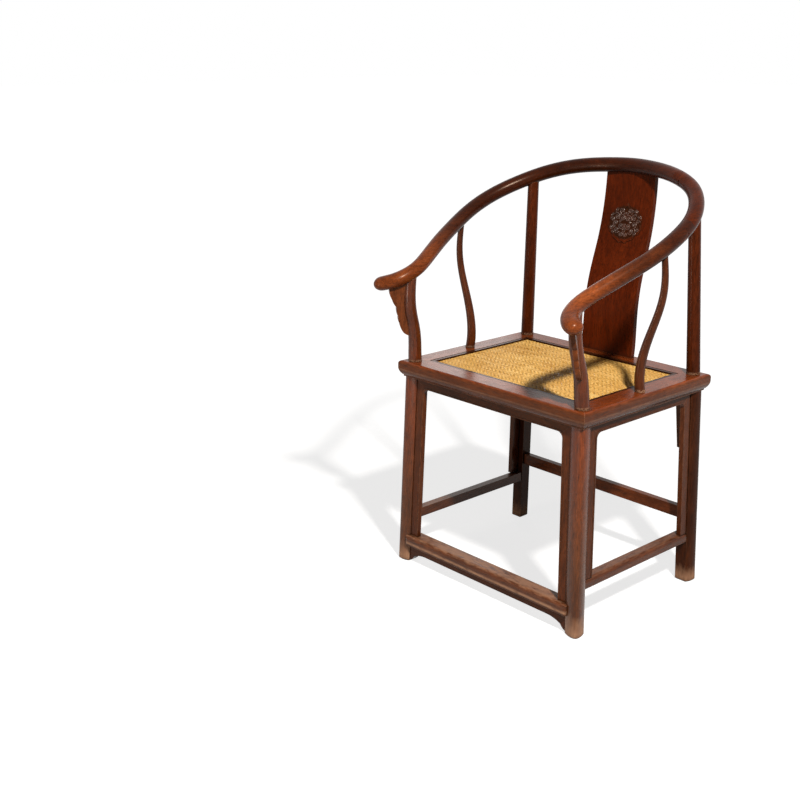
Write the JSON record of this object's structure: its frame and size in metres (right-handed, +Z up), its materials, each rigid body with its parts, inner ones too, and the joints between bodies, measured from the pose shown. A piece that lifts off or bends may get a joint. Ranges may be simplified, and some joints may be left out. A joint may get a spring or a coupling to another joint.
{
  "type": "horseshoe back armchair",
  "caption": "Hardwood armchair with a horseshoe crest rail sloping into rolled hand grips, a carved curved splat, a soft cane seat, splayed legs, stepped stretchers and a footrest.",
  "frame": {"origin": "middle of the bounding box in plan, on the floor under the feet", "axes": "+X to the sitter's left, +Y from the front to the back, +Z up"},
  "size_m": [0.6441, 0.5964, 1.001],
  "materials": {
    "dark_hardwood": "semi-gloss, waxed",
    "woven_cane": "matt straw twill",
    "palm_webbing": "matt",
    "bamboo": "matt"
  },
  "bodies": {
    "root": {"apron_back": "dark_hardwood", "apron_front": "dark_hardwood", "apron_left": "dark_hardwood", "apron_right": "dark_hardwood", "apron_strip_front_left": "dark_hardwood", "apron_strip_front_right": "dark_hardwood", "apron_strip_left_front": "dark_hardwood", "apron_strip_left_rear": "dark_hardwood", "apron_strip_right_front": "dark_hardwood", "apron_strip_right_rear": "dark_hardwood", "back_splat": "dark_hardwood", "crest_rail_centre": "dark_hardwood", "crest_rail_grip_left": "dark_hardwood", "crest_rail_grip_right": "dark_hardwood", "crest_rail_shoulder_left": "dark_hardwood", "crest_rail_shoulder_right": "dark_hardwood", "crest_wedge_pins": "dark_hardwood", "footrest": "dark_hardwood", "footrest_apron": "dark_hardwood", "front_leg_and_post_left": "dark_hardwood", "front_leg_and_post_right": "dark_hardwood", "grip_bracket_left": "dark_hardwood", "grip_bracket_right": "dark_hardwood", "mat_strip_back": "dark_hardwood", "mat_strip_front": "dark_hardwood", "mat_strip_left": "dark_hardwood", "mat_strip_nails": "bamboo", "mat_strip_right": "dark_hardwood", "mitre_pegs": "dark_hardwood", "rear_leg_and_post_left": "dark_hardwood", "rear_leg_and_post_right": "dark_hardwood", "seat_brace_left": "dark_hardwood", "seat_brace_right": "dark_hardwood", "seat_mat": "woven_cane", "seat_rail_back": "dark_hardwood", "seat_rail_front": "dark_hardwood", "seat_rail_left": "dark_hardwood", "seat_rail_right": "dark_hardwood", "seat_webbing": "palm_webbing", "side_post_left": "dark_hardwood", "side_post_right": "dark_hardwood", "stretcher_back": "dark_hardwood", "stretcher_left": "dark_hardwood", "stretcher_right": "dark_hardwood"}
  },
  "joints": []
}
